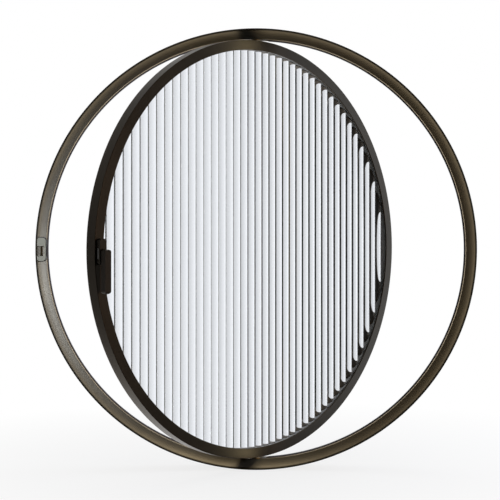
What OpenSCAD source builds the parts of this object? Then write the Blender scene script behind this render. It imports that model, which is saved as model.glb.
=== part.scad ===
// Round centre-pivot window: a fixed ring frame and a glazed ring sash that turns on an
// upright axis. Origin on the pivot axis at the centre of the ring, -Y is the room side,
// +Z is up. Millimetres.

/* [Frame ring] */
// Outside diameter of the fixed frame
frame_dia = 1000; // [800:10:1300]
// Depth of the frame through the wall
frame_depth = 72; // [66:1:90]
// Width of the narrow lip at the rim of each face
lip_w = 3; // [2:0.5:5]
// Radial width of the splayed face
splay_w = 18.5; // [16:0.5:24]
// Depth of the splayed face
splay_depth = 21; // [18:0.5:23]
// How far the splayed face is hollowed at its middle
splay_hollow = 1.4; // [0.5:0.1:2]
// Wall of the rolled section
frame_wall = 3; // [2.5:0.25:3.5]
// Wall at the throat, where the seal and the pivots sit
throat_wall = 5; // [4.5:0.25:6]
// Width of the anchor slot round the rim
anchor_slot_w = 24; // [20:1:28]

/* [Sash ring] */
// How far the sash stands open
sash_open_angle = 45; // [0:5:90]
// Running gap between the sash rim and the throat
sash_gap = 3; // [2.5:0.25:4]
// Width of the sash face
sash_face_w = 23; // [22:0.5:27]
// Depth of the sash
sash_depth = 28.6; // [28:0.2:30]
// Thickness of the face leg of the sash
sash_leg = 3.5; // [3:0.25:4]
// Thickness of the rim wall of the sash
sash_rim = 3; // [2.5:0.25:3.5]
// Chamfer on the sash edges
sash_chamfer = 0.8; // [0.3:0.1:1.2]

/* [Reeded glass] */
// Width of one reed
reed_pitch = 22.5; // [15:0.5:30]
// Height of a reed above its groove
reed_height = 2.5; // [1.5:0.1:3.2]
// Thickness of the pane over a crest
glass_t = 8; // [6.5:0.5:9]
// Thickness of the room side gasket
inner_gasket_t = 1.7; // [1.4:0.1:2]
// Thickness of the outside gasket
outer_gasket_t = 3; // [2:0.25:4]
// Glass edge clearance inside the rim wall
glass_edge_gap = 6.5; // [6:0.25:8]

/* [Pivots] */
// Pivot pin diameter
pin_dia = 10; // [8:0.5:11]
// Outside diameter of the flanged bush
bush_dia = 16; // [14:0.5:18]
// Radial running clearance of the pin in the bush
pin_clear = 0.05; // [0.02:0.01:0.1]
// Length of the pivot blocks and shoes along the ring
pivot_len = 56; // [50:1:66]

/* [Handle] */
// Width of the handle base
base_w = 17; // [16.5:0.25:19]
// Height of the handle base
base_h = 53; // [50:1:60]
// Projection of the handle base
base_t = 13.5; // [13.2:0.1:15]
// Lever width
lever_w = 15; // [13:0.5:17]
// Lever thickness
lever_t = 14; // [12:0.5:16]
// Lever length below the turning axis
lever_drop = 86; // [65:1:110]
// Gap between the handle base and the lever
neck_len = 2; // [1.5:0.1:4]
// Neck diameter
neck_dia = 12; // [11:0.5:13]
// Spindle diameter
spindle_dia = 8; // [7:0.5:8.5]
// Travel of the latch bolt
bolt_travel = 8.5; // [7:0.25:8.75]

/* [Keep] */
// Height of the keep
keep_h = 56; // [52:1:64]
// Thickness of the keep in front of the bolt
keep_nose_t = 2.6; // [2:0.1:4]
// Width of the bar of the keep
keep_bar = 5.4; // [5:0.2:6.4]
// Width of the rubber edging round the keep
keep_edge = 1.4; // [1:0.1:2]

/* [Hidden] */
$fn = 96;
frame_r = frame_dia / 2;
half_depth = frame_depth / 2;
throat_r = frame_r - lip_w - splay_w;
half_throat = half_depth - splay_depth;
sash_r = throat_r - sash_gap;
half_sash = sash_depth / 2;
sash_inner_r = sash_r - sash_face_w;
rim_inner_r = sash_r - sash_rim;
glass_r = rim_inner_r - glass_edge_gap;
crest_y = -half_sash + sash_leg + inner_gasket_t;
groove_y = crest_y + reed_height;
glass_back_y = crest_y + glass_t;
bead_y = glass_back_y + outer_gasket_t;
reed_r = (reed_pitch * reed_pitch / 4 + reed_height * reed_height) / (2 * reed_height);
reed_n = ceil(glass_r / reed_pitch) + 1;
splay_len = sqrt(splay_w * splay_w + splay_depth * splay_depth);
splay_dr = splay_depth / splay_len;
splay_dy = splay_w / splay_len;
splay_wall = frame_wall + splay_hollow;
wall_dr = splay_wall * splay_dr;
wall_dy = splay_wall * splay_dy;
splay_slope = splay_depth / splay_w;
rim_in = frame_r - frame_wall;
cavity_r = throat_r + throat_wall;
cavity_y_rim = half_depth - wall_dy - (frame_wall - lip_w + wall_dr) * splay_slope;
cavity_y_throat = half_throat - wall_dy + (throat_wall - wall_dr) * splay_slope;
swing_r = sqrt(sash_r * sash_r + half_sash * half_sash);
seal_w = 7.4;
seal_groove_w = 8.4;
seal_groove_d = 2.6;
block_side_gap = 0.8;
block_r0 = cavity_r + 0.1;
block_r1 = frame_r - 3.4;
block_y0 = cavity_y_throat - block_side_gap;
block_y1 = block_y0 + (block_r1 - block_r0) * splay_slope;
flange_z = throat_r - 0.2;
flange_t = 1;
thrust_gap = 0.15;
block_screw_r = 2.5;
block_screw_head = 4.5;
block_screw_len = 13.5;
block_screw_x = pivot_len / 2 - 9;
shoe_screw_r = 2;
shoe_screw_head = 3.4;
shoe_screw_len = 7.6;
shoe_screw_x = pivot_len / 2 - 10;
setting_len = 50;
handle_x = -(sash_r - sash_face_w / 2);
base_left = -base_w / 2;
cavity_half = base_w / 2 - 1.4;
bolt_off_sash = 3.9;
bolt_off_throat = 3.2;
bolt_back = -max(half_sash + bolt_off_sash, half_throat + bolt_off_throat);
bolt_t = 4.2;
plate_t = 3.85;
bolt_front = bolt_back - bolt_t;
crank_back = bolt_front - 0.3;
crank_t = 2.2;
crank_front = crank_back - crank_t;
base_wall = 2.4;
base_front = -max(half_sash + base_t, base_wall - crank_front);
bolt_z0 = -15.5;
bolt_z1 = 6.5;
crank_e = bolt_travel / sqrt(2);
crank_pin_r = 1.25;
cavity_z0 = bolt_z0 - 0.6;
cavity_z1 = crank_e + 7;
handle_screw_z = [cavity_z0 - 5.4, cavity_z1 + 6];
lever_back = base_front - neck_len;
lever_front = lever_back - lever_t;
lever_top = neck_dia / 2 - 2;
keep_x1 = -(swing_r + 0.8);
keep_x0 = -(frame_r - lip_w);
keep_nose = bolt_front - 0.4 - keep_nose_t;
keep_rim = -half_depth + 0.6;
keep_seat = 0.06;
keep_round = 9;
keep_edge_gap = 0.05;
keep_edge_sink = 0.2;
keep_edge_stop = 5;
keep_z1 = keep_h * 0.49;
keep_z0 = keep_z1 - keep_h;
keep_screw_at = 0.3;
keep_screw_turn = asin(18.2 / frame_r);
keep_screw_r = 2;
keep_screw_head = 3.6;
keep_screw_len = splay_wall + 3;

// Turns a section of radius and depth round the window's own axis, depth along +Y.
module ring(points) {
    rotate([-90, 0, 0])
    rotate_extrude($fn = 180)
    polygon(points);
}

// Extrudes a front view outline between two depths.
module slab(y0, y1) {
    translate([0, y1, 0])
    rotate([90, 0, 0])
    linear_extrude(y1 - y0)
    children();
}

// Outline of a rectangle with round corners.
module rounded(x0, x1, z0, z1, r) {
    translate([x0 + r, z0])
    square([x1 - x0 - 2 * r, z1 - z0]);
    translate([x0, z0 + r])
    square([x1 - x0, z1 - z0 - 2 * r]);
    for (x = [x0 + r, x1 - r], z = [z0 + r, z1 - r])
        translate([x, z])
        circle(r);
}

// Puts a child on the turned sash.
module on_sash() {
    rotate([0, 0, sash_open_angle])
    children();
}

// Puts a child at the handle's turning axis on the sash.
module at_handle() {
    on_sash()
    translate([handle_x, 0, 0])
    children();
}

// Upright cylinder between two heights.
module post(r, z0, z1) {
    translate([0, 0, z0])
    cylinder(r = r, h = z1 - z0);
}

// Countersunk screw along +Z, head face at z = 0, shank downwards.
module csk_screw(r, head_r, length) {
    difference() {
        union() {
            translate([0, 0, -length])
            cylinder(r = r, h = length - 0.1);
            translate([0, 0, r - head_r - 0.3])
            cylinder(r1 = r, r2 = head_r, h = head_r - r);
            translate([0, 0, -0.3])
            cylinder(r = head_r, h = 0.3);
        }
        translate([0, 0, -1.2])
        cylinder(r = r * 0.62, h = 2, $fn = 6);
    }
}

// Room left for a countersunk screw, wider by a clearance.
module csk_hole(r, head_r, length, gap) {
    translate([0, 0, -length - gap])
    cylinder(r = r + gap, h = length + gap);
    translate([0, 0, r - head_r - 0.3])
    cylinder(r1 = r + gap, r2 = head_r + gap, h = head_r - r);
    translate([0, 0, -0.3])
    cylinder(r = head_r + gap, h = 4);
}

// Screws that hold a pivot block to the throat, as seen at the top.
module block_screw_places() {
    reach = block_screw_x + 5;
    for (x = [-block_screw_x, block_screw_x])
        translate([x, 0, sqrt(throat_r * throat_r - reach * reach)])
        rotate([180, 0, 0])
        children();
}

// Screws that hold a pivot shoe to the sash rim, as seen at the top.
module shoe_screw_places() {
    reach = shoe_screw_x + 4;
    for (x = [-shoe_screw_x, shoe_screw_x])
        translate([x, 0, sqrt(sash_r * sash_r - reach * reach)])
        children();
}

// Repeats a child at the top and, turned over, at the bottom.
module top_and_bottom() {
    children();
    rotate([0, 180, 0])
    children();
}

// Point on the hollowed splay of the room face, from the lip at t = 0 to the throat at t = 1.
function splay_point(t) = [
    frame_r - lip_w - t * splay_w + 4 * t * (1 - t) * splay_hollow * splay_dr,
    -half_depth + t * splay_depth + 4 * t * (1 - t) * splay_hollow * splay_dy
];

splay_steps = 8;
room_splay = [for (i = [0 : splay_steps]) splay_point(i / splay_steps)];
outside_splay = [for (i = [splay_steps : -1 : 0])
    [splay_point(i / splay_steps)[0], -splay_point(i / splay_steps)[1]]];

module frame_section() {
    ring(concat([[frame_r, -half_depth]], room_splay, [
        [throat_r, -seal_groove_w / 2],
        [throat_r + seal_groove_d, -seal_groove_w / 2],
        [throat_r + seal_groove_d, seal_groove_w / 2],
        [throat_r, seal_groove_w / 2]
    ], outside_splay, [
        [frame_r, half_depth],
        [frame_r, anchor_slot_w / 2],
        [rim_in, anchor_slot_w / 2],
        [rim_in, cavity_y_rim],
        [cavity_r, cavity_y_throat],
        [cavity_r, -cavity_y_throat],
        [rim_in, -cavity_y_rim],
        [rim_in, -anchor_slot_w / 2],
        [frame_r, -anchor_slot_w / 2]
    ]));
}

// Screws that hold the keep from inside the hollow frame, square to the splay.
module keep_screw_places() {
    for (a = [-1, 1])
        rotate([0, a * keep_screw_turn - 0.1, 0])
        translate([
            -(throat_r + keep_screw_at * splay_w + splay_wall * splay_dr),
            -half_throat - keep_screw_at * splay_depth + splay_wall * splay_dy,
            0
        ])
        rotate([0, 90, -atan2(splay_w, splay_depth)])
        children();
}

// Rolled ring with a splayed face on both sides and an anchor slot round the rim.
module outer_frame() {
    color("#4A4234")
    difference() {
        frame_section();
        top_and_bottom() {
            post(bush_dia / 2 + 0.02, throat_r - 5, cavity_r + 5);
            block_screw_places()
            csk_hole(block_screw_r, block_screw_head, block_screw_len + 0.5, 0.1);
        }
        keep_screw_places()
        translate([0, 0, -0.5])
        cylinder(r = keep_screw_r + 0.1, h = splay_wall + 1);
    }
}

// Pile strip round the throat, left open at the two pivots.
module weather_seal() {
    seal_in = swing_r + 0.5;
    seal_foot = throat_r + 1.2;
    seal_out = throat_r + seal_groove_d - 0.15;
    color("#77777A")
    difference() {
        ring([
            [seal_in, -seal_w / 2 + 0.8],
            [seal_in, seal_w / 2 - 0.8],
            [seal_foot, seal_w / 2],
            [seal_foot, seal_groove_w / 2 - 0.15],
            [seal_out, seal_groove_w / 2 - 0.15],
            [seal_out, -seal_groove_w / 2 + 0.15],
            [seal_foot, -seal_groove_w / 2 + 0.15],
            [seal_foot, -seal_w / 2]
        ]);
        cube([pivot_len, frame_depth, 3 * frame_dia], center = true);
    }
}

// Block behind the throat that carries a bush and fills the hollow of the frame.
module pivot_block() {
    difference() {
        intersection() {
            ring([
                [block_r0, -block_y0],
                [block_r0, block_y0],
                [block_r1, block_y1],
                [block_r1, -block_y1]
            ]);
            translate([-pivot_len / 2, -half_depth, 0])
            cube([pivot_len, frame_depth, frame_dia]);
        }
        post(bush_dia / 2 + 0.02, throat_r - 5, frame_r + 5);
        block_screw_places()
        csk_hole(block_screw_r, block_screw_head, block_screw_len + 0.5, 0.1);
    }
}

module top_pivot_block() {
    color("#9A9C9E")
    pivot_block();
}

module bottom_pivot_block() {
    color("#9A9C9E")
    rotate([0, 180, 0])
    pivot_block();
}

// Flanged bush that the pivot pin turns in.
module pivot_bush() {
    difference() {
        union() {
            post(bush_dia / 2, flange_z - 0.5, frame_r - 3.6);
            post(bush_dia / 2 + 2, flange_z - flange_t, flange_z);
        }
        post(pin_dia / 2 + pin_clear, throat_r - 5, frame_r + 5);
    }
}

module top_pivot_bush() {
    color("#A88B4A")
    pivot_bush();
}

module bottom_pivot_bush() {
    color("#A88B4A")
    rotate([0, 180, 0])
    pivot_bush();
}

module frame_pivot_screws() {
    color("#B4B6B8")
    top_and_bottom()
    block_screw_places()
    csk_screw(block_screw_r, block_screw_head, block_screw_len);
}

// Striker that lies on the splay beside the handle, with a window and a bolt slot. Its face
// rises from the lip of the frame to a nose in front of the bolt.
module keep_block(inset, sink) {
    slope = (keep_nose - keep_rim) / (keep_x1 - keep_x0);
    difference() {
        intersection() {
            slab(-half_depth, 0)
            rounded(keep_x0, keep_x1 - inset, keep_z0 + inset, keep_z1 - inset, keep_round - inset);
            ring([
                [-keep_x1 - 20, keep_nose + 20 * slope + sink],
                [-keep_x0, keep_rim + sink],
                [-keep_x0, 0],
                [-keep_x1 - 20, 0]
            ]);
        }
        ring(concat([[frame_r + frame_depth, -half_depth - keep_seat]], [
            for (q = room_splay) [q[0], q[1] - keep_seat]
        ], [
            [throat_r, frame_depth],
            [frame_r + frame_depth, frame_depth]
        ]));
        translate([-throat_r - 1, -half_throat - 0.2, -keep_h])
        cube([frame_depth, frame_depth, 2 * keep_h]);
        slab(-frame_depth, 0)
        translate([-frame_r, bolt_z0 - 0.5])
        square([frame_r + keep_x1 - keep_bar, bolt_z1 - bolt_z0 + 1]);
        slab(bolt_front - 0.4, bolt_back + 0.5)
        translate([-frame_r, bolt_z0 - 0.5])
        square([frame_r, bolt_z1 - bolt_z0 + 1]);
    }
}

module latch_keep() {
    color("#4A4234")
    difference() {
        keep_block(keep_edge + keep_edge_gap, 0);
        keep_screw_places()
        cylinder(r = keep_screw_r + 0.05, h = keep_screw_len + 0.3);
    }
}

// Rubber edging that lines the keep on the three sides away from the lip.
module keep_edging() {
    color("#2B2C2D")
    difference() {
        keep_block(0, keep_edge_sink);
        slab(-frame_depth, frame_depth)
        rounded(keep_x0 - 2 * keep_round, keep_x1 - keep_edge, keep_z0 + keep_edge,
            keep_z1 - keep_edge, keep_round - keep_edge);
        translate([keep_x0 - keep_edge_stop, -frame_depth, -keep_h])
        cube([2 * keep_edge_stop, 2 * frame_depth, 2 * keep_h]);
    }
}

module keep_screws() {
    color("#B4B6B8")
    keep_screw_places()
    difference() {
        union() {
            translate([0, 0, -1])
            cylinder(r = keep_screw_r, h = keep_screw_len + 1);
            translate([0, 0, -2.2])
            cylinder(r = keep_screw_head, h = 2.15);
        }
        translate([0, 0, -3])
        cylinder(r = keep_screw_r * 0.75, h = 2, $fn = 6);
    }
}

// Rolled sash section: face leg, rim wall and a groove that takes the bead.
module sash_ring() {
    color("#2E2822")
    on_sash()
    difference() {
        ring([
            [sash_inner_r + sash_chamfer, -half_sash],
            [sash_r - sash_chamfer, -half_sash],
            [sash_r, -half_sash + sash_chamfer],
            [sash_r, half_sash - sash_chamfer],
            [sash_r - sash_chamfer, half_sash],
            [rim_inner_r, half_sash],
            [rim_inner_r, half_sash - 3.2],
            [rim_inner_r + 1.2, half_sash - 3.6],
            [rim_inner_r + 1.2, half_sash - 5],
            [rim_inner_r, half_sash - 5],
            [rim_inner_r, -half_sash + sash_leg],
            [sash_inner_r, -half_sash + sash_leg],
            [sash_inner_r, -half_sash + sash_chamfer]
        ]);
        top_and_bottom() {
            post(pin_dia / 2 + 0.15, rim_inner_r - 5, sash_r + 5);
            shoe_screw_places()
            csk_hole(shoe_screw_r, shoe_screw_head, shoe_screw_len + 0.4, 0.05);
        }
        rotate([0, 180, 0])
        post(11, sash_r - 0.4, sash_r + 5);
        translate([handle_x, 0, 0])
        for (z = handle_screw_z)
            translate([0, -half_sash + sash_leg, z])
            rotate([-90, 0, 0])
            csk_hole(2, 3.4, 10, 0.05);
    }
}

// Clip-in bead on the weather side.
module glazing_bead() {
    in_r = sash_inner_r + 1;
    out_r = rim_inner_r - 0.3;
    color("#2E2822")
    on_sash()
    ring([
        [in_r, bead_y],
        [in_r + 9.5, bead_y],
        [in_r + 9.5, bead_y + 2.2],
        [in_r + 2.2, bead_y + 2.2],
        [in_r + 2.2, half_sash - 5],
        [in_r + 5.2, half_sash - 2.2],
        [out_r - 2, half_sash - 2.2],
        [out_r - 2, half_sash - 6.2],
        [out_r, half_sash - 6.2],
        [out_r, half_sash - 4.8],
        [out_r + 1.1, half_sash - 4.8],
        [out_r + 1.1, half_sash - 3.8],
        [out_r, half_sash - 3.4],
        [out_r, half_sash - 0.2],
        [in_r + 4, half_sash - 0.2],
        [in_r, half_sash - 4]
    ]);
}

// Round pane, flat outside, with upright reeds on the room side.
module reeded_glass() {
    color("#DCE8E6")
    on_sash()
    intersection() {
        translate([0, 0, -glass_r - 10])
        linear_extrude(2 * glass_r + 20) {
            translate([-glass_r - 10, groove_y])
            square([2 * glass_r + 20, glass_back_y - groove_y]);
            for (i = [-reed_n : reed_n])
                intersection() {
                    translate([i * reed_pitch, crest_y + reed_r])
                    circle(reed_r);
                    translate([(i - 0.5) * reed_pitch, crest_y - 1])
                    square([reed_pitch, reed_height + 1.5]);
                }
        }
        slab(-frame_depth, frame_depth)
        circle(glass_r, $fn = 180);
    }
}

// Gasket between the face leg and the reeds.
module inner_gasket() {
    y0 = -half_sash + sash_leg;
    color("#CFD2D1")
    on_sash()
    ring([
        [sash_inner_r + 2, y0],
        [sash_inner_r + 9, y0],
        [sash_inner_r + 9, crest_y],
        [sash_inner_r + 3.2, crest_y],
        [sash_inner_r + 2, crest_y - 0.6]
    ]);
}

// Wedge gasket between the pane and the bead.
module outer_gasket() {
    color("#CFD2D1")
    on_sash()
    ring([
        [sash_inner_r + 2.6, glass_back_y],
        [sash_inner_r + 9, glass_back_y],
        [sash_inner_r + 10, bead_y],
        [sash_inner_r + 2, bead_y]
    ]);
}

// Blocks that seat the glass edge in the rim.
module setting_blocks() {
    color("#3B3D40")
    on_sash()
    for (a = [-30, 30, 150, 210])
        rotate([0, a, 0])
        intersection() {
            ring([
                [glass_r + 0.1, crest_y + 0.4],
                [rim_inner_r - 0.1, crest_y + 0.4],
                [rim_inner_r - 0.1, glass_back_y + 0.6],
                [glass_r + 0.1, glass_back_y + 0.6]
            ]);
            translate([-setting_len / 2, -half_depth, -frame_dia])
            cube([setting_len, frame_depth, frame_dia]);
        }
}

// Curved plate inside the rim that holds a pivot pin.
module pivot_shoe() {
    difference() {
        intersection() {
            ring([
                [glass_r + 0.8, crest_y],
                [rim_inner_r - 0.1, crest_y],
                [rim_inner_r - 0.1, half_sash - 6.7],
                [glass_r + 0.8, half_sash - 6.7]
            ]);
            translate([-pivot_len / 2, -half_depth, 0])
            cube([pivot_len, frame_depth, frame_dia]);
        }
        post(pin_dia / 2 + 0.01, glass_r - 5, sash_r + 5);
        shoe_screw_places()
        csk_hole(shoe_screw_r, shoe_screw_head, shoe_screw_len + 0.4, 0.05);
    }
}

module top_pivot_shoe() {
    color("#9A9C9E")
    on_sash()
    pivot_shoe();
}

module bottom_pivot_shoe() {
    color("#9A9C9E")
    on_sash()
    rotate([0, 180, 0])
    pivot_shoe();
}

// Plain pin with a chamfered end.
module pivot_pin() {
    r = pin_dia / 2;
    post(r, glass_r + 1, frame_r - 6);
    translate([0, 0, frame_r - 6])
    cylinder(r1 = r, r2 = r - 1.2, h = 1.2);
}

module top_pivot_pin() {
    color("#C2C4C6")
    on_sash()
    pivot_pin();
}

module bottom_pivot_pin() {
    color("#C2C4C6")
    on_sash()
    rotate([0, 180, 0])
    pivot_pin();
}

module sash_pivot_screws() {
    color("#B4B6B8")
    on_sash()
    top_and_bottom()
    shoe_screw_places()
    csk_screw(shoe_screw_r, shoe_screw_head, shoe_screw_len);
}

// Washer that the sash stands on at the lower pivot.
module thrust_washer() {
    color("#D8D2C0")
    on_sash()
    rotate([0, 180, 0])
    difference() {
        post(pin_dia / 2 + 4.8, sash_r - 0.4, flange_z - flange_t - thrust_gap);
        post(pin_dia / 2 + 0.1, sash_r - 5, throat_r + 5);
    }
}

// Hollow handle base on the sash face, with a slot for the bolt in its rim side.
module handle_base() {
    color("#2E2822")
    at_handle()
    difference() {
        slab(base_front, -half_sash)
        rounded(base_left, -base_left, -base_h / 2 - 0.5, base_h / 2 - 0.5, 6);
        slab(crank_front - 0.2, 1)
        translate([-cavity_half, cavity_z0])
        square([2 * cavity_half, cavity_z1 - cavity_z0]);
        slab(bolt_front - 0.25, bolt_back + 0.25)
        translate([base_left - 1, bolt_z0 - 0.25])
        square([base_w / 2, bolt_z1 - bolt_z0 + 0.5]);
        slab(base_front - 1, -half_sash)
        circle(spindle_dia / 2 + 0.06);
        for (z = handle_screw_z)
            translate([0, -half_sash + sash_leg, z])
            rotate([-90, 0, 0])
            translate([0, 0, -sash_leg - 7.4])
            cylinder(r = 2.05, h = 10);
    }
}

// Plate that closes the handle base and guides the bolt.
module handle_base_plate() {
    color("#8E9092")
    at_handle()
    slab(bolt_back + 0.15, bolt_back + plate_t)
    translate([-cavity_half + 0.1, cavity_z0 + 0.1])
    square([2 * cavity_half - 0.2, cavity_z1 - cavity_z0 - 0.2]);
}

module handle_screws() {
    color("#B4B6B8")
    at_handle()
    for (z = handle_screw_z)
        translate([0, -half_sash + sash_leg, z])
        rotate([-90, 0, 0])
        csk_screw(2, 3.4, sash_leg + 7);
}

// Outline of the lever from its side, depth against height.
module lever_outline() {
    z1 = lever_top;
    r = 5;
    back_r = 2;
    difference() {
        translate([lever_front, -lever_drop])
        square([lever_t, lever_drop + z1]);
        translate([lever_front, z1 - r])
        square([r, r]);
        translate([lever_front, -lever_drop])
        square([r, r]);
        translate([lever_back - back_r, -lever_drop])
        square([back_r, back_r]);
    }
    translate([lever_front + r, z1 - r])
    circle(r);
    translate([lever_front + r, -lever_drop + r])
    circle(r);
    translate([lever_back - back_r, -lever_drop + back_r])
    circle(back_r);
}

// Outline of the lever from the front, with a rounder lower end.
module lever_face() {
    z1 = lever_top;
    half_w = lever_w / 2;
    end_r = lever_w * 0.48;
    top_r = lever_w * 0.27;
    translate([-half_w, -lever_drop + end_r])
    square([lever_w, lever_drop + z1 - end_r - top_r]);
    translate([-half_w + end_r, -lever_drop])
    square([lever_w - 2 * end_r, lever_drop]);
    translate([-half_w + top_r, 0])
    square([lever_w - 2 * top_r, z1]);
    for (side = [-1, 1]) {
        translate([side * (half_w - end_r), -lever_drop + end_r])
        circle(end_r);
        translate([side * (half_w - top_r), z1 - top_r])
        circle(top_r);
    }
}

// Straight lever with a round neck and a blind bore for the spindle.
module handle_lever() {
    color("#2E2822")
    at_handle()
    difference() {
        union() {
            intersection() {
                translate([-lever_w / 2, 0, 0])
                rotate([90, 0, 90])
                linear_extrude(lever_w)
                lever_outline();
                slab(lever_front - 1, lever_back + 1)
                lever_face();
            }
            slab(lever_back - 1, base_front - 0.9)
            circle(neck_dia / 2);
        }
        slab(lever_front + 3.5, base_front)
        circle(spindle_dia / 2 + 0.02);
        rotate([0, 90, 0])
        translate([0, lever_back - 5, 0])
        cylinder(r = 2, h = lever_w);
    }
}

// Spindle from the lever into the handle base, with a square end for the crank.
module lever_spindle() {
    color("#B4B6B8")
    at_handle() {
        slab(lever_front + 4, crank_front)
        circle(spindle_dia / 2);
        slab(crank_front - 0.5, crank_back - 0.1)
        translate([-2.2, -2.2])
        square([4.4, 4.4]);
    }
}

// Crank on the spindle, with the pin that drives the bolt.
module latch_crank() {
    color("#A88B4A")
    at_handle()
    rotate([0, -45, 0]) {
        difference() {
            slab(crank_front + 0.1, crank_back)
            union() {
                circle(4.4);
                translate([0, -2.1])
                square([crank_e, 4.2]);
                translate([crank_e, 0])
                circle(2.1);
            }
            rotate([0, 45, 0])
            slab(crank_front - 1, crank_back + 1)
            translate([-2.25, -2.25])
            square([4.5, 4.5]);
        }
        slab(crank_front + 0.2, bolt_back - 0.3)
        translate([crank_e, 0])
        circle(crank_pin_r);
    }
}

// Cup-point screw that clamps the lever on the spindle.
module lever_grub_screw() {
    color("#8E9092")
    at_handle()
    rotate([0, 90, 0])
    translate([0, lever_back - 5, spindle_dia / 2 + 0.05])
    difference() {
        cylinder(r = 1.97, h = lever_w / 2 - spindle_dia / 2 - 0.6);
        translate([0, 0, lever_w / 2 - spindle_dia / 2 - 2.2])
        cylinder(r = 1, h = 3, $fn = 6);
    }
}

module lever_washer() {
    color("#D8D2C0")
    at_handle()
    difference() {
        slab(base_front - 0.85, base_front - 0.05)
        circle(spindle_dia / 2 + 1.6);
        slab(base_front - 2, base_front + 1)
        circle(spindle_dia / 2 + 0.05);
    }
}

// Flat bolt with a slot for the crank pin.
module latch_bolt() {
    pin_c = crank_e / sqrt(2);
    slot_hw = crank_pin_r + 0.3;
    tab_wall = 1;
    color("#B4B6B8")
    at_handle()
    difference() {
        union() {
            slab(bolt_front, bolt_back)
            translate([base_left + 0.5, bolt_z0])
            square([base_w / 2 - 0.5 + cavity_half - 0.15, bolt_z1 - bolt_z0]);
            slab(bolt_front, bolt_back)
            translate([pin_c - slot_hw - tab_wall, bolt_z1 - 1])
            square([cavity_half - 0.15 - pin_c + slot_hw + tab_wall, 5.5]);
        }
        slab(bolt_front - 1, bolt_back + 1)
        translate([pin_c - slot_hw, pin_c - slot_hw])
        square([2 * slot_hw, crank_e - pin_c + 2 * slot_hw]);
    }
}

outer_frame();
weather_seal();
top_pivot_block();
bottom_pivot_block();
top_pivot_bush();
bottom_pivot_bush();
frame_pivot_screws();
latch_keep();
keep_edging();
keep_screws();
sash_ring();
glazing_bead();
reeded_glass();
inner_gasket();
outer_gasket();
setting_blocks();
top_pivot_shoe();
bottom_pivot_shoe();
top_pivot_pin();
bottom_pivot_pin();
sash_pivot_screws();
thrust_washer();
handle_base();
handle_base_plate();
handle_screws();
handle_lever();
lever_spindle();
latch_crank();
lever_grub_screw();
lever_washer();
latch_bolt();
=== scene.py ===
"""Dresses the round pivot window: ring frame, turned sash, reeded pane and lever handle."""
import math

import bmesh
import bpy
import numpy as np
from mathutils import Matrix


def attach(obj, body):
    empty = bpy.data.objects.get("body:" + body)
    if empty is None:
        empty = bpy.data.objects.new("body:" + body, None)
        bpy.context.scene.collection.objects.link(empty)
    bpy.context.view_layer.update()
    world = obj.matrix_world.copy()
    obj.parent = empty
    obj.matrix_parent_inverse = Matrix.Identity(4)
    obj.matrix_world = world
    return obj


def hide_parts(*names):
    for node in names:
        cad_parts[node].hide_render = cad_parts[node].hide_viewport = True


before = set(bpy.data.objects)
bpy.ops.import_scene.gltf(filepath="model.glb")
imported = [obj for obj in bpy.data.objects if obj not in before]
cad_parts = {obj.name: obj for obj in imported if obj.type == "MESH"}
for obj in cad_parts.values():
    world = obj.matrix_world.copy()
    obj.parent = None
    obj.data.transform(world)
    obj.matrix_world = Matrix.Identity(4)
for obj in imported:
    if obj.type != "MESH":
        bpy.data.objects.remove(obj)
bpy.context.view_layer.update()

MM = 0.001

# Sizes repeated from the part's source, in metres.
FRAME_R = 0.500
HALF_DEPTH = 0.036
LIP_W = 0.003
THROAT_R = 0.4785
HALF_THROAT = 0.015
RIM_IN = 0.497
CAVITY_R = 0.4835
ANCHOR_HALF = 0.012
CAVITY_Y_RIM = 0.02934
CAVITY_Y_THROAT = 0.01402
SPLAY_HOLLOW = 0.0014
SEAL_GROOVE_HALF = 0.0042
SEAL_GROOVE_D = 0.0026
SASH_TURN = math.radians(45.0)
SASH_R = 0.4752
HALF_SASH = 0.0143
SASH_INNER_R = 0.4525
RIM_INNER_R = 0.4725
SASH_LEG = 0.0035
GLASS_R = 0.466
CREST_Y = -0.0091
REED_PITCH = 0.0225
REED_HEIGHT = 0.0025
GLASS_BACK_Y = -0.0011
BEAD_Y = 0.0019


def linear(hex_colour):
    """sRGB hex to linear RGBA: divide by 12.92 below the knee, else the 2.4 power curve."""
    s = np.array([int(hex_colour[i:i + 2], 16) for i in (1, 3, 5)]) / 255.0
    rgb = np.where(s <= 0.04045, s / 12.92, ((s + 0.055) / 1.055) ** 2.4)
    return (*rgb.tolist(), 1.0)


def turn_to_sash(points):
    """Turns points from the closed sash to its open place: a rotation about the upright axis."""
    c, s = math.cos(SASH_TURN), math.sin(SASH_TURN)
    return points @ np.array([[c, s, 0.0], [-s, c, 0.0], [0.0, 0.0, 1.0]])


def eased_section(corners, radii, arc_points=6):
    """Closed section with eased corners: each corner becomes a quadratic curve from a point one
    radius before it to one radius after it, with a holding point a little further out on each
    side so that flat faces stay flat under smooth shading."""
    p = np.asarray(corners, float)
    r = np.asarray(radii, float)[:, None]
    back = np.roll(p, 1, axis=0) - p
    ahead = np.roll(p, -1, axis=0) - p
    back_len = np.linalg.norm(back, axis=1, keepdims=True)
    ahead_len = np.linalg.norm(ahead, axis=1, keepdims=True)
    start = np.minimum(r, 0.42 * back_len)
    end = np.minimum(r, 0.42 * ahead_len)
    a = p + back / back_len * start
    b = p + ahead / ahead_len * end
    t = np.linspace(0.0, 1.0, arc_points)[None, :, None]
    curve = (1 - t) ** 2 * a[:, None] + 2 * t * (1 - t) * p[:, None] + t ** 2 * b[:, None]
    hold_a = (p + back / back_len * start * 1.15)[:, None]
    hold_b = (p + ahead / ahead_len * end * 1.15)[:, None]
    return np.concatenate([hold_a, curve, hold_b], axis=1).reshape(-1, 2)


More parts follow.
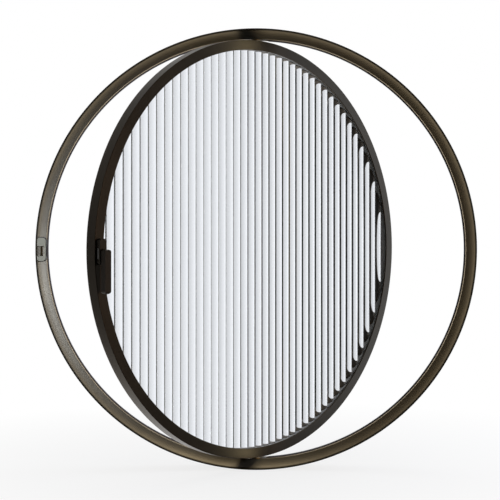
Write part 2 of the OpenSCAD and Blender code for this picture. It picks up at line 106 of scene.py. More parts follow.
def grid_faces(rows, cols, wrap_rows, wrap_cols):
    """Quads of a grid of points, joined back to the start in the directions that wrap."""
    i = np.arange(rows if wrap_rows else rows - 1)
    j = np.arange(cols if wrap_cols else cols - 1)
    i, j = np.meshgrid(i, j, indexing="ij")
    i2, j2 = (i + 1) % rows, (j + 1) % cols
    quads = np.stack([i * cols + j, i2 * cols + j, i2 * cols + j2, i * cols + j2], axis=-1)
    return quads.reshape(-1, 4)


def make_piece(name, points, faces, uv):
    """A smooth mesh object from points, faces and one UV pair to a point, normals outward."""
    mesh = bpy.data.meshes.new(name)
    mesh.from_pydata(points.tolist(), [], [list(map(int, f)) for f in faces])
    layer = mesh.uv_layers.new(name="along_section")
    index = np.empty(len(mesh.loops), dtype=np.int32)
    mesh.loops.foreach_get("vertex_index", index)
    layer.data.foreach_set("uv", uv[index].astype(np.float32).ravel())
    mesh.polygons.foreach_set("use_smooth", [True] * len(mesh.polygons))
    bm = bmesh.new()
    bm.from_mesh(mesh)
    bmesh.ops.recalc_face_normals(bm, faces=bm.faces)
    bm.to_mesh(mesh)
    bm.free()
    mesh.update()
    obj = bpy.data.objects.new(name, mesh)
    bpy.context.scene.collection.objects.link(obj)
    return obj


def swept_ring(name, section, on_sash=False, steps=360):
    """A section of radius and depth carried round the window's axis: a point at angle a is
    radius times (cos a, sin a) across and up, with the depth along Y. UV holds metres along
    the ring and metres along the section."""
    a = np.arange(steps) * (2 * np.pi / steps)
    r, y = section[:, 0], section[:, 1]
    pts = np.stack([
        np.cos(a)[:, None] * r[None, :],
        np.broadcast_to(y, (steps, len(y))),
        np.sin(a)[:, None] * r[None, :],
    ], axis=-1)
    along = np.concatenate([[0.0], np.cumsum(np.linalg.norm(np.diff(section, axis=0), axis=1))])
    uv = np.stack(np.broadcast_arrays(a[:, None] * r.mean(), along[None, :]), axis=-1)
    pts = pts.reshape(-1, 3)
    if on_sash:
        pts = turn_to_sash(pts)
    faces = grid_faces(steps, len(r), True, True)
    return make_piece(name, pts, faces, uv.reshape(-1, 2))


def swept_arc(name, section, start, end, steps=180):
    """As a ring, but only from one angle to another, with both ends closed by the section."""
    a = np.linspace(start, end, steps)
    r, y = section[:, 0], section[:, 1]
    pts = np.stack([
        np.cos(a)[:, None] * r[None, :],
        np.broadcast_to(y, (steps, len(y))),
        np.sin(a)[:, None] * r[None, :],
    ], axis=-1).reshape(-1, 3)
    n = len(r)
    faces = list(grid_faces(steps, n, False, True))
    faces.append(np.arange(n))
    faces.append(np.arange((steps - 1) * n, steps * n))
    along = np.concatenate([[0.0], np.cumsum(np.linalg.norm(np.diff(section, axis=0), axis=1))])
    uv = np.stack(np.broadcast_arrays(a[:, None] * r.mean(), along[None, :]), axis=-1)
    return make_piece(name, pts, faces, uv.reshape(-1, 2))


# Frame ring: narrow lip, hollowed splay, throat with a seal groove, anchor slot round the rim.
def hollow_splay(steps=7):
    """Points between lip and throat on the room face: the straight line between them pushed
    into the metal by a parabola that is deepest at the middle."""
    t = np.linspace(0.0, 1.0, steps)[1:-1, None]
    lip = np.array([FRAME_R - LIP_W, -HALF_DEPTH])
    throat = np.array([THROAT_R, -HALF_THROAT])
    run = throat - lip
    inward = np.array([run[1], -run[0]]) / np.hypot(*run)
    return lip + t * run + 4 * t * (1 - t) * SPLAY_HOLLOW * inward


room_splay = hollow_splay()
room_half = np.concatenate([
    [(FRAME_R, -HALF_DEPTH), (FRAME_R - LIP_W, -HALF_DEPTH)], room_splay,
    [(THROAT_R, -HALF_THROAT), (THROAT_R, -SEAL_GROOVE_HALF),
     (THROAT_R + SEAL_GROOVE_D, -SEAL_GROOVE_HALF)],
])
hollow_back = np.array([(RIM_IN, -ANCHOR_HALF), (RIM_IN, -CAVITY_Y_RIM),
                        (CAVITY_R, -CAVITY_Y_THROAT)])
room_radii = np.concatenate([[0.0005, 0.0005], np.full(len(room_splay), 0.002),
                             [0.0005, 0.0003, 0.0003]])
flip = np.array([1.0, -1.0])
frame_section = eased_section(
    np.concatenate([room_half, room_half[::-1] * flip, [(FRAME_R, ANCHOR_HALF)],
                    hollow_back * flip, hollow_back[::-1], [(FRAME_R, -ANCHOR_HALF)]]),
    np.concatenate([room_radii, room_radii[::-1], [0.0004], [0.0003, 0.0006, 0.0006],
                    [0.0006, 0.0006, 0.0003], [0.0004]]))
frame_ring = swept_ring("frame_ring", frame_section)
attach(frame_ring, "frame")
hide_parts("outer_frame")

# Sash ring: face leg and rim wall with eased edges, and the groove that takes the bead.
LEG_BACK = -HALF_SASH + SASH_LEG
GROOVE_R = RIM_INNER_R + 0.0012
GROOVE_NEAR_Y = HALF_SASH - 0.0032
GROOVE_BEVEL = 0.0004
GROOVE_FAR_Y = HALF_SASH - 0.005
sash_section = eased_section([
    (SASH_INNER_R, -HALF_SASH), (SASH_R, -HALF_SASH), (SASH_R, HALF_SASH),
    (RIM_INNER_R, HALF_SASH), (RIM_INNER_R, GROOVE_NEAR_Y),
    (GROOVE_R, GROOVE_NEAR_Y - GROOVE_BEVEL), (GROOVE_R, GROOVE_FAR_Y),
    (RIM_INNER_R, GROOVE_FAR_Y), (RIM_INNER_R, LEG_BACK), (SASH_INNER_R, LEG_BACK),
], [0.0010, 0.0010, 0.0010, 0.0004, 0.0002, 0.0002, 0.0002, 0.0002, 0.0006, 0.0005])
sash_ring = swept_ring("sash_rim", sash_section, on_sash=True)
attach(sash_ring, "sash")
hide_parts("sash_ring")

# Clip-in bead on the weather side.
BEAD_IN = SASH_INNER_R + 0.001
BEAD_OUT = RIM_INNER_R - 0.0003
BEAD_SEAT_R = BEAD_IN + 0.0095
BEAD_WALL = 0.0022
BEAD_BACK_Y = HALF_SASH - 0.0002
BEAD_CHAMFER = 0.004
INSIDE_CHAMFER_R = BEAD_IN + 0.0052
INSIDE_CHAMFER_Y = HALF_SASH - 0.005
INSIDE_BACK_Y = HALF_SASH - BEAD_WALL
BEAD_LEG_R = BEAD_OUT - 0.002
BEAD_LEG_END_Y = HALF_SASH - 0.0062
HOOK_R = BEAD_OUT + 0.0011
HOOK_NEAR_Y = HALF_SASH - 0.0034
HOOK_TIP_Y = HALF_SASH - 0.0038
HOOK_FAR_Y = HALF_SASH - 0.0048
bead_section = eased_section([
    (BEAD_IN, BEAD_Y), (BEAD_SEAT_R, BEAD_Y), (BEAD_SEAT_R, BEAD_Y + BEAD_WALL),
    (BEAD_IN + BEAD_WALL, BEAD_Y + BEAD_WALL), (BEAD_IN + BEAD_WALL, INSIDE_CHAMFER_Y),
    (INSIDE_CHAMFER_R, INSIDE_BACK_Y), (BEAD_LEG_R, INSIDE_BACK_Y),
    (BEAD_LEG_R, BEAD_LEG_END_Y), (BEAD_OUT, BEAD_LEG_END_Y),
    (BEAD_OUT, HOOK_FAR_Y), (HOOK_R, HOOK_FAR_Y), (HOOK_R, HOOK_TIP_Y), (BEAD_OUT, HOOK_NEAR_Y),
    (BEAD_OUT, BEAD_BACK_Y), (BEAD_IN + BEAD_CHAMFER, BEAD_BACK_Y),
    (BEAD_IN, HALF_SASH - BEAD_CHAMFER),
], [0.0004] * 9 + [0.0002] * 4 + [0.0005, 0.0008, 0.0008])
bead_ring = swept_ring("bead_ring", bead_section, on_sash=True)
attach(bead_ring, "sash")
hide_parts("glazing_bead")

# Gaskets: the room side one shows a soft round edge past the face leg, the outside one a lip.
GASKET_IN = SASH_INNER_R + 0.002
GASKET_OUT = SASH_INNER_R + 0.009
GASKET_LIP_W = 0.0012
GASKET_LIP_RISE = 0.0006
GASKET_FLARE = 0.001
inner_gasket = swept_ring("room_gasket", eased_section([
    (GASKET_IN, LEG_BACK), (GASKET_OUT, LEG_BACK), (GASKET_OUT, CREST_Y),
    (GASKET_IN + GASKET_LIP_W, CREST_Y), (GASKET_IN, CREST_Y - GASKET_LIP_RISE),
], [0.0003, 0.0003, 0.0003, 0.0006, 0.0006]), on_sash=True)
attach(inner_gasket, "sash")
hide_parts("inner_gasket")
outer_gasket = swept_ring("weather_gasket", eased_section([
    (GASKET_IN + GASKET_LIP_RISE, GLASS_BACK_Y), (GASKET_OUT, GLASS_BACK_Y),
    (GASKET_OUT + GASKET_FLARE, BEAD_Y), (GASKET_IN, BEAD_Y),
], [0.0004, 0.0004, 0.0004, 0.0006]), on_sash=True)
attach(outer_gasket, "sash")
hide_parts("outer_gasket")

# Pile seal in the throat: two half rings that stop at the pivots.
SEAL_PLAY = 0.00015
SEAL_IN = math.hypot(SASH_R, HALF_SASH) + 0.0005
SEAL_FOOT = THROAT_R + 0.0012
SEAL_OUT = THROAT_R + SEAL_GROOVE_D - SEAL_PLAY
PILE_TIP_HALF = 0.0029
PILE_ROOT_HALF = 0.0037
SEAL_BASE_HALF = SEAL_GROOVE_HALF - SEAL_PLAY
PIVOT_HALF_W = 0.0281
seal_section = eased_section([
    (SEAL_IN, -PILE_TIP_HALF), (SEAL_IN, PILE_TIP_HALF), (SEAL_FOOT, PILE_ROOT_HALF),
    (SEAL_FOOT, SEAL_BASE_HALF), (SEAL_OUT, SEAL_BASE_HALF), (SEAL_OUT, -SEAL_BASE_HALF),
    (SEAL_FOOT, -SEAL_BASE_HALF), (SEAL_FOOT, -PILE_ROOT_HALF),
], [0.0007, 0.0007, 0.0002, 0.0002, 0.0002, 0.0002, 0.0002, 0.0002])
SEAL_STOP = math.asin(PIVOT_HALF_W / SEAL_IN)
half_seals = [
    swept_arc("pile_seal_right", seal_section, -math.pi / 2 + SEAL_STOP, math.pi / 2 - SEAL_STOP),
    swept_arc("pile_seal_left", seal_section, math.pi / 2 + SEAL_STOP, 1.5 * math.pi - SEAL_STOP),
]
for half_seal in half_seals:
    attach(half_seal, "frame")
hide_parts("weather_seal")


def reeded_pane(name, per_reed=14, rows=48):
    """Round pane, flat at the back. Across the pane the room face is a row of circular arcs, one
    to a reed, with sharp grooves between; each upright line of points is cut to the chord of the
    disc there. The back repeats the lines, and one band of quads closes the rim."""
    half = GLASS_R * 0.99995
    arc_r = (REED_PITCH ** 2 / 4 + REED_HEIGHT ** 2) / (2 * REED_HEIGHT)
    first = math.floor(-half / REED_PITCH - 0.5)
    last = math.ceil(half / REED_PITCH + 0.5)
    edges = (np.arange(first, last + 1) + 0.5) * REED_PITCH
    inner = np.linspace(0, 1, per_reed + 1)[:-1]
    x = (edges[:-1, None] + inner[None, :] * REED_PITCH).ravel()
    x = np.concatenate([[-half], x[(x > -half) & (x < half)], [half]])
    from_crest = (x / REED_PITCH + 0.5) % 1.0 - 0.5
    y = CREST_Y + arc_r - np.sqrt(arc_r ** 2 - (from_crest * REED_PITCH) ** 2)
    chord = np.sqrt(np.maximum(GLASS_R ** 2 - x ** 2, 1e-9))
    v = np.linspace(-1, 1, rows)
    z = chord[:, None] * v[None, :]
    front = np.stack(np.broadcast_arrays(x[:, None], y[:, None], z), axis=-1).reshape(-1, 3)
    back = np.stack(np.broadcast_arrays(x[:, None], GLASS_BACK_Y, z), axis=-1).reshape(-1, 3)
    n, m = len(x), rows
    quads = grid_faces(n, m, False, False)
    rim = np.concatenate([
        np.arange(n) * m, (n - 1) * m + np.arange(1, m),
        (np.arange(n - 2, -1, -1)) * m + m - 1, np.arange(m - 2, 0, -1),
    ])
    rim_next = np.roll(rim, -1)
    band = np.stack([rim, rim_next, rim_next + n * m, rim + n * m], axis=-1)
    faces = np.concatenate([quads, quads[:, ::-1] + n * m, band])
    pts = turn_to_sash(np.concatenate([front, back]))
    across = np.tile(np.repeat(x / REED_PITCH + 0.5, m), 2)
    up = np.tile((z / REED_PITCH).ravel(), 2)
    pane = make_piece(name, pts, faces, np.stack([across, up], axis=-1))
    grooves = np.isclose((x / REED_PITCH + 0.5) % 1.0, 0.0, atol=1e-6) | np.isclose(
        (x / REED_PITCH + 0.5) % 1.0, 1.0, atol=1e-6)
    rim_set = np.zeros(2 * n * m, bool)
    rim_set[rim] = True
    rim_set[rim + n * m] = True
    groove_set = np.zeros(2 * n * m, bool)
    groove_set[:n * m] = np.repeat(grooves, m)
    ends = np.empty(len(pane.data.edges) * 2, dtype=np.int32)
    pane.data.edges.foreach_get("vertices", ends)
    ends = ends.reshape(-1, 2)
    along_groove = groove_set[ends].all(axis=1) & (np.abs(np.diff(ends, axis=1)[:, 0]) == 1)
    along_rim = rim_set[ends].all(axis=1)
    pane.data.edges.foreach_set("use_edge_sharp", along_groove | along_rim)
    return pane


pane = reeded_pane("reeded_pane")
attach(pane, "sash")
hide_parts("reeded_glass")
pane.visible_shadow = False
pane.visible_glossy = False
pane.visible_diffuse = False


def eased_copy(node, name, radius):
    """A copy of a CAD node whose edges are eased by one radius: its corners are merged, flat
    faces joined and every edge sharper than 30 degrees rounded by a bevel."""
    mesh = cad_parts[node].data.copy()
    mesh.name = name
    bm = bmesh.new()
    bm.from_mesh(mesh)
    bmesh.ops.remove_doubles(bm, verts=bm.verts, dist=1e-6)
    bmesh.ops.dissolve_limit(bm, angle_limit=math.radians(1.0), verts=bm.verts, edges=bm.edges)
    bmesh.ops.recalc_face_normals(bm, faces=bm.faces)
    bm.to_mesh(mesh)
    bm.free()
    mesh.materials.clear()
    mesh.polygons.foreach_set("use_smooth", [True] * len(mesh.polygons))
    mesh.set_sharp_from_angle(angle=math.radians(30.0))
    obj = bpy.data.objects.new(name, mesh)
    bpy.context.scene.collection.objects.link(obj)
    bevel = obj.modifiers.new("eased_edges", "BEVEL")
    bevel.width = radius
    bevel.segments = 3
    bevel.limit_method = "ANGLE"
    bevel.angle_limit = math.radians(30.0)
    bevel.harden_normals = True
    return obj


lever = eased_copy("handle_lever", "lever", radius=0.0016)
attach(lever, "handle")
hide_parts("handle_lever")
base = eased_copy("handle_base", "handle_body", radius=0.0008)
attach(base, "sash")
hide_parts("handle_base")
keep = eased_copy("latch_keep", "keep_plate", radius=0.0006)
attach(keep, "frame")
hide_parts("latch_keep")
bolt = eased_copy("latch_bolt", "bolt_tongue", radius=0.0005)
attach(bolt, "bolt")
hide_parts("latch_bolt")


def add(tree, kind, inputs=None, **settings):
    """One node of any kind: settings on the node, values or links on its sockets."""
    node = tree.nodes.new(kind)
    for key, value in settings.items():
        setattr(node, key, value)
    for key, value in (inputs or {}).items():
        if isinstance(value, bpy.types.NodeSocket):
            tree.links.new(value, node.inputs[key])
        else:
            node.inputs[key].default_value = value
    return node


def new_material(name, **inputs):
    """A material with one Principled shader, whose sockets take the values given."""
    material = bpy.data.materials.new(name)
    material.use_nodes = True
    shader = material.node_tree.nodes["Principled BSDF"]
    for key, value in inputs.items():
        shader.inputs[key.replace("_", " ")].default_value = value
    return material, material.node_tree, shader


def mixed(tree, factor, first, second):
    """The colour between two colours by a factor, as a socket."""
    node = add(tree, "ShaderNodeMix", {"Factor": factor, 6: first, 7: second}, data_type="RGBA")
    return node.outputs[2]


def anodised(name, tint, deep, rough, drawn, lip=None):
    """Bronze anodised aluminium. The eye sees a dark satin brown with a soft sheen, faint cloudy
    differences of tone from the dye bath and, on rolled lengths, hairlines along the length. Given
    a lip colour, the frame's narrow lip is darkened to it as painted shade, a thin dark line round
    the ring."""
    material, tree, shader = new_material(name, Metallic=1.0)
    coords = add(tree, "ShaderNodeTexCoord")
    cloud = add(tree, "ShaderNodeTexNoise", {"Vector": coords.outputs["Object"], "Scale": 9.0,
                                             "Detail": 3.0, "Roughness": 0.55})
    if drawn:
        stretch = add(tree, "ShaderNodeMapping", {"Vector": coords.outputs["UV"],
                                                  "Scale": (9.0, 1400.0, 1.0)})
        grain = add(tree, "ShaderNodeTexNoise", {"Vector": stretch.outputs["Vector"],
                                                 "Scale": 1.0, "Detail": 4.0})
    else:
        grain = add(tree, "ShaderNodeTexNoise", {"Vector": coords.outputs["Object"],
                                                 "Scale": 2600.0, "Detail": 2.0})
    colour = mixed(tree, cloud.outputs["Fac"], linear(deep), linear(tint))
    # Painted shade: the tone darkens over the last millimetres of depth at the lip, standing in for
    # the shade at the frame's outer edge.
    if lip:
        place = add(tree, "ShaderNodeSeparateXYZ", {"Vector": coords.outputs["Object"]})
        depth = add(tree, "ShaderNodeMath", {0: place.outputs["Y"]}, operation="ABSOLUTE")
        lip_painted_shade = add(tree, "ShaderNodeMapRange", {"Value": depth.outputs["Value"],
                                                "From Min": HALF_DEPTH - 0.0034,
                                                "From Max": HALF_DEPTH - 0.0014},
                   interpolation_type="SMOOTHSTEP")
        colour = mixed(tree, lip_painted_shade.outputs["Result"], colour, linear(lip))
    tree.links.new(colour, shader.inputs["Base Color"])
    sheen = add(tree, "ShaderNodeMapRange", {"Value": grain.outputs["Fac"], "From Min": 0.3,
                                             "From Max": 0.7, "To Min": rough - 0.05,
                                             "To Max": rough + 0.07})
    tree.links.new(sheen.outputs["Result"], shader.inputs["Roughness"])
    bump = add(tree, "ShaderNodeBump", {"Height": grain.outputs["Fac"], "Strength": 0.12,
                                        "Distance": 0.00006})
    tree.links.new(bump.outputs["Normal"], shader.inputs["Normal"])
    return material


def grained(name, pale, deep, scale, rough, bump_depth, metallic=0.0, stretch=(1.0, 1.0, 1.0)):
    """A surface with one fine grain: two close tones mixed by noise, the same noise as relief."""
    material, tree, shader = new_material(name, Metallic=metallic, Roughness=rough)
    coords = add(tree, "ShaderNodeTexCoord")
    mapped = add(tree, "ShaderNodeMapping", {"Vector": coords.outputs["Object"],
                                             "Scale": stretch})
    noise = add(tree, "ShaderNodeTexNoise", {"Vector": mapped.outputs["Vector"],
                                             "Scale": scale, "Detail": 4.0})
    ramp = add(tree, "ShaderNodeValToRGB", {"Fac": noise.outputs["Fac"]})
    ramp.color_ramp.elements[0].position = 0.3
    ramp.color_ramp.elements[0].color = linear(deep)
    ramp.color_ramp.elements[1].position = 0.7
    ramp.color_ramp.elements[1].color = linear(pale)
    tree.links.new(ramp.outputs["Color"], shader.inputs["Base Color"])
    bump = add(tree, "ShaderNodeBump", {"Height": noise.outputs["Fac"], "Strength": 0.6,
                                        "Distance": bump_depth})
    tree.links.new(bump.outputs["Normal"], shader.inputs["Normal"])
    return material


def rolled_glass():
    """Clear rolled glass. The eye sees bright upright bands with a thin dark line at each groove
    and a slight waviness along the reeds from the roller."""
    material, tree, shader = new_material("clear_glass_rolled_reeds", Roughness=0.0, IOR=1.52,
                                          Transmission_Weight=1.0)
    shader.inputs["Base Color"].default_value = linear("#F7F9FB")
    coords = add(tree, "ShaderNodeTexCoord")
    mapped = add(tree, "ShaderNodeMapping", {"Vector": coords.outputs["Object"],
                                             "Scale": (22.0, 22.0, 5.0)})
    wave = add(tree, "ShaderNodeTexNoise", {"Vector": mapped.outputs["Vector"], "Scale": 1.0,
                                            "Detail": 1.0})
    bump = add(tree, "ShaderNodeBump", {"Height": wave.outputs["Fac"], "Strength": 0.1,
                                        "Distance": 0.0008})
    tree.links.new(bump.outputs["Normal"], shader.inputs["Normal"])
    return material


# The frame, sash, handle and keep are one bronze anodised finish. Their tints differ in lightness
# as painted light and shade: the frame and keep get lighter tints, the sash and handle darker ones,
# standing in for how each is lit.
materials = {
    # The frame's lip colour is painted shade, a darker tone for the dark line at its outer edge.
    "bronze_frame": anodised("bronze_anodised_aluminium_rolled_frame", tint="#AC9A7A",
                             deep="#8D7E64", rough=0.46, drawn=True, lip="#5C523F"),
    "bronze_sash": anodised("bronze_anodised_aluminium_rolled_sash", tint="#433A2D",
                            deep="#362E23", rough=0.38, drawn=True),
    "bronze_handle": anodised("bronze_anodised_aluminium_cast_handle", tint="#3A3329",
                              deep="#2D2720", rough=0.42, drawn=False),
    "bronze_keep": anodised("bronze_anodised_aluminium_milled_keep", tint="#B6A58D",
                            deep="#988A74", rough=0.44, drawn=False),
    "pile_seal": grained("grey_polypropylene_woven_pile", pale="#97979B", deep="#66666A",
                         scale=2200.0, rough=0.95, bump_depth=0.0004),
    "gasket_rubber": grained("pale_silicone_rubber_extruded_gasket", pale="#D9DBDA", deep="#C6C9C8",
                             scale=1500.0, rough=0.5, bump_depth=0.00003),
    "setting_rubber": grained("grey_rubber_moulded_blocks", pale="#4A4B4C", deep="#3A3B3C",
                              scale=900.0, rough=0.7, bump_depth=0.00004),
    "cast_blocks": grained("aluminium_sawn_blocks", pale="#B4B5B7", deep="#9C9DA0",
                           scale=700.0, rough=0.45, bump_depth=0.00004, metallic=1.0),
    "bush_bronze": grained("brass_turned_bush", pale="#B89A58", deep="#9A7E42",
                           scale=1800.0, rough=0.4, bump_depth=0.00003, metallic=1.0),
    "pivot_steel": grained("stainless_steel_ground", pale="#BDBDBA", deep="#9F9F9C",
                           scale=1200.0, rough=0.3, bump_depth=0.00001, metallic=1.0,
                           stretch=(1.0, 1.0, 0.06)),
    "zinc_screws": grained("steel_zinc_plated_screws", pale="#A6A8AA", deep="#8E9092",
                           scale=1100.0, rough=0.35, bump_depth=0.00001, metallic=1.0),
    "nylon_washer": grained("white_nylon_moulded_washer", pale="#E2DDCC", deep="#D2CCBA",
                            scale=800.0, rough=0.5, bump_depth=0.00002),
    "reeded_glass": rolled_glass(),
}
for part_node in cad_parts.values():
    for place in part_node.material_slots:
        wanted = place.material.name.split(".")[0]
        place.link = "OBJECT"
        place.material = materials[wanted]
for piece, slot in [(frame_ring, "bronze_frame"), (sash_ring, "bronze_sash"),
                    (bead_ring, "bronze_sash"), (inner_gasket, "gasket_rubber"),
                    (outer_gasket, "gasket_rubber"), (half_seals[0], "pile_seal"),
                    (half_seals[1], "pile_seal"), (pane, "reeded_glass"),
                    (lever, "bronze_handle"), (base, "bronze_handle"), (keep, "bronze_keep"),
                    (bolt, "pivot_steel")]:
    piece.data.materials.append(materials[slot])


# Stage: pale floor, a white screen behind, and a world that the camera sees as white.
def flat_panel(name, corners, material):
    """One flat four-cornered panel of the stage."""
    mesh = bpy.data.meshes.new(name)
    mesh.from_pydata(corners, [], [(0, 1, 2, 3)])
    mesh.materials.append(material)
    obj = bpy.data.objects.new(name, mesh)
    bpy.context.scene.collection.objects.link(obj)
    return obj


screen_material = bpy.data.materials.new("white_screen")
screen_material.use_nodes = True
screen_tree = screen_material.node_tree
screen_tree.nodes.clear()
spot = add(screen_tree, "ShaderNodeTexCoord")
across = add(screen_tree, "ShaderNodeSeparateXYZ", {"Vector": spot.outputs["Object"]})
shade = add(screen_tree, "ShaderNodeMapRange", {"Value": across.outputs["X"], "From Min": -2.0,
                                                "From Max": 2.0, "To Min": 1.1, "To Max": 0.82})
glow = add(screen_tree, "ShaderNodeEmission", {"Color": linear("#FBFCFF"),
                                               "Strength": shade.outputs["Result"]})
add(screen_tree, "ShaderNodeOutputMaterial", {"Surface": glow.outputs["Emission"]})
SCREEN_HALF_W = 2.85
SCREEN_HALF_H = 4.0
STAGE_BACK = 8.0
screen = flat_panel("screen", [(-SCREEN_HALF_W, STAGE_BACK, -SCREEN_HALF_H),
                               (SCREEN_HALF_W, STAGE_BACK, -SCREEN_HALF_H),
                               (SCREEN_HALF_W, STAGE_BACK, SCREEN_HALF_H),
                               (-SCREEN_HALF_W, STAGE_BACK, SCREEN_HALF_H)], screen_material)
screen.visible_camera = False
screen.visible_glossy = False
screen.visible_diffuse = False

FLOOR_REACH = 9.0
FADE_R = 1.1
floor_material = bpy.data.materials.new("pale_floor")
floor_material.use_nodes = True
floor_tree = floor_material.node_tree
floor_tree.nodes.clear()
matt = add(floor_tree, "ShaderNodeBsdfDiffuse", {"Color": linear("#F4F4F4")})
white = add(floor_tree, "ShaderNodeEmission", {"Color": (1, 1, 1, 1), "Strength": 1.0})
where = add(floor_tree, "ShaderNodeTexCoord")
far = add(floor_tree, "ShaderNodeTexGradient", gradient_type="SPHERICAL")
shrink = add(floor_tree, "ShaderNodeMapping", {"Vector": where.outputs["Object"],
                                               "Location": (0.0, 0.0, FRAME_R / FADE_R),
                                               "Scale": (1 / FADE_R, 1 / FADE_R, 1 / FADE_R)})
floor_tree.links.new(shrink.outputs["Vector"], far.inputs["Vector"])
fade = add(floor_tree, "ShaderNodeMapRange", {"Value": far.outputs["Fac"], "From Min": 0.0,
                                              "From Max": 0.9, "To Min": 1.0, "To Max": 0.8})
blend = add(floor_tree, "ShaderNodeMixShader", {0: fade.outputs["Result"]})
floor_tree.links.new(matt.outputs["BSDF"], blend.inputs[1])
floor_tree.links.new(white.outputs["Emission"], blend.inputs[2])
add(floor_tree, "ShaderNodeOutputMaterial", {"Surface": blend.outputs["Shader"]})
floor = flat_panel("floor", [(-FLOOR_REACH, -FLOOR_REACH, -FRAME_R),
                             (FLOOR_REACH, -FLOOR_REACH, -FRAME_R),
                             (FLOOR_REACH, STAGE_BACK, -FRAME_R),
                             (-FLOOR_REACH, STAGE_BACK, -FRAME_R)], floor_material)
floor.visible_glossy = False
floor.visible_diffuse = False
floor.visible_transmission = False

world = bpy.data.worlds.new("studio")
bpy.context.scene.world = world
world.use_nodes = True
studio = world.node_tree
background = studio.nodes["Background"]
background.inputs["Color"].default_value = (1, 1, 1, 1)
path = add(studio, "ShaderNodeLightPath")
way = add(studio, "ShaderNodeTexCoord")
toward = add(studio, "ShaderNodeSeparateXYZ", {"Vector": way.outputs["Generated"]})
# The metal sees daylight behind the window, weaker high up, and a dim room in front of it.
high = add(studio, "ShaderNodeMapRange",
           {"Value": toward.outputs["Z"], "From Min": 0.25, "From Max": 0.7,
            "To Min": 1.6, "To Max": 0.5}, interpolation_type="SMOOTHSTEP")
day = add(studio, "ShaderNodeMapRange",
          {"Value": toward.outputs["Y"], "From Min": 0.1, "From Max": 0.7,
           "To Min": 0.05, "To Max": high.outputs["Result"]}, interpolation_type="SMOOTHSTEP")
# Through the pane the surround is white, but for a dark band on either side of the screen. Only
# the light that the edges of the reeds bend furthest comes from there, so each groove is dark.
sideways = add(studio, "ShaderNodeMath", {0: toward.outputs["X"]}, operation="ABSOLUTE")
steep = add(studio, "ShaderNodeMath", {0: toward.outputs["Z"]}, operation="ABSOLUTE")
off_level = add(studio, "ShaderNodeMapRange",
                {"Value": steep.outputs["Value"], "From Min": 0.45, "From Max": 0.7})
room_side = add(studio, "ShaderNodeMapRange",
                {"Value": toward.outputs["Y"], "From Min": 0.1, "From Max": -0.1})
apart = add(studio, "ShaderNodeMath",
            {0: off_level.outputs["Result"], 1: room_side.outputs["Result"]}, operation="ADD")
away = add(studio, "ShaderNodeMath",
           {0: sideways.outputs["Value"], 1: apart.outputs["Value"]}, operation="ADD")
surround = add(studio, "ShaderNodeMapRange",
               {"Value": away.outputs["Value"], "From Min": 0.5, "From Max": 0.56,
                "To Min": 0.02, "To Max": 0.95}, interpolation_type="SMOOTHSTEP")
beyond = add(studio, "ShaderNodeMapRange",
             {"Value": path.outputs["Is Transmission Ray"], "To Min": day.outputs["Result"],
              "To Max": surround.outputs["Result"]})
level = add(studio, "ShaderNodeMapRange",
            {"Value": path.outputs["Is Camera Ray"], "To Min": beyond.outputs["Result"],
             "To Max": 1.0})
studio.links.new(level.outputs["Result"], background.inputs["Strength"])


CENTRE = (0.0, 0.0, 0.0)


def soft_light(name, place, aim, width, height, watts, tint=(1.0, 1.0, 1.0)):
    """A rectangular soft light at a place, turned to face a point."""
    data = bpy.data.lights.new(name, "AREA")
    data.shape = "RECTANGLE"
    data.size = width
    data.size_y = height
    data.energy = watts
    data.color = tint
    lamp = bpy.data.objects.new(name, data)
    lamp.location = place
    direction = np.asarray(aim) - np.asarray(place)
    turn = math.atan2(direction[0], -direction[1])
    tilt = math.atan2(math.hypot(direction[0], direction[1]), -direction[2])
    lamp.rotation_euler = (tilt, 0.0, turn + math.pi)
    lamp.visible_camera = False
    lamp.visible_transmission = False
    bpy.context.scene.collection.objects.link(lamp)
    return lamp


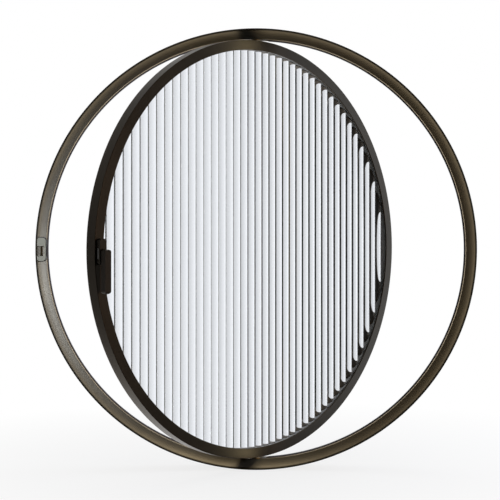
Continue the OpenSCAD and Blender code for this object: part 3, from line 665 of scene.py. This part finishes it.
# Daylight from the right is cool, and the light of the room, from the front right, is warm.
ROOM_CORNER = (1.75, -1.6, 0.1)
key_right = soft_light("key_right", (1.4, 0.45, 0.1), CENTRE, width=0.8, height=1.6, watts=9.8,
                       tint=(0.59, 0.73, 1.0))
room_right = soft_light("room_right", ROOM_CORNER, CENTRE, width=0.7, height=1.2, watts=13.3,
                        tint=(1.0, 0.81, 0.74))
keep_light = soft_light("keep_light", ROOM_CORNER, CENTRE, width=0.7, height=1.2, watts=23.0,
                        tint=(0.58, 0.76, 1.0))
right_level = soft_light("right_level", (1.7, -0.42, 0.28), CENTRE, width=1.0, height=0.55,
                         watts=18.0, tint=(0.51, 0.645, 1.0))
soft_light("top", (0.4, 0.75, 1.9), CENTRE, width=1.8, height=1.2, watts=10.0)
soft_light("front_fill", (1.4, -3.2, 1.0), CENTRE, width=1.6, height=1.6, watts=1.5)
# Small lamps close to the pivots, for the sheen on the sash face at the top and the bottom.
glints = [soft_light(name, (0.117, -0.053, 0.472 * end), (-0.031, -0.051, 0.46 * end),
                     width=0.03, height=0.05, watts=0.036, tint=(0.96, 1.0, 0.9))
          for name, end in (("glint_top", 1), ("glint_bottom", -1))]


def link_lamps(name, lamps, pieces, state):
    """Lets some lamps light only these pieces, or all but these, by Blender's light linking."""
    group = bpy.data.collections.new(name)
    for k, piece in enumerate(pieces):
        group.objects.link(piece)
        group.collection_objects[k].light_linking.link_state = state
    for lamp in lamps:
        lamp.light_linking.receiver_collection = group


# No lamp shows as a patch in the pane, and the frame and the keep have lamps of their own.
link_lamps("sash_and_fittings", [key_right, room_right], [pane, frame_ring, keep], "EXCLUDE")
link_lamps("keep_only", [keep_light], [keep], "INCLUDE")
link_lamps("frame_only", [right_level], [frame_ring], "INCLUDE")
link_lamps("sash_only", glints, [sash_ring], "INCLUDE")

# Camera: it faces the frame squarely from a little above the centre, as the photograph does.
PIXELS = 500
RISE_PX = 20.0
FOCAL_PX = 1272.0
MM_PER_PX = 2.2635
camera_data = bpy.data.cameras.new("camera")
camera_data.sensor_width = 36.0
camera_data.lens = FOCAL_PX / PIXELS * 36.0
camera_data.shift_x = -0.0124
camera_data.shift_y = -0.0418
camera_data.clip_end = 100.0
camera = bpy.data.objects.new("camera", camera_data)
camera.location = (0.0, -HALF_DEPTH - FOCAL_PX * MM_PER_PX * MM, RISE_PX * MM_PER_PX * MM)
camera.rotation_euler = (math.pi / 2, 0.0, 0.0)
bpy.context.scene.collection.objects.link(camera)
bpy.context.scene.camera = camera
bpy.context.scene.view_settings.view_transform = "Standard"
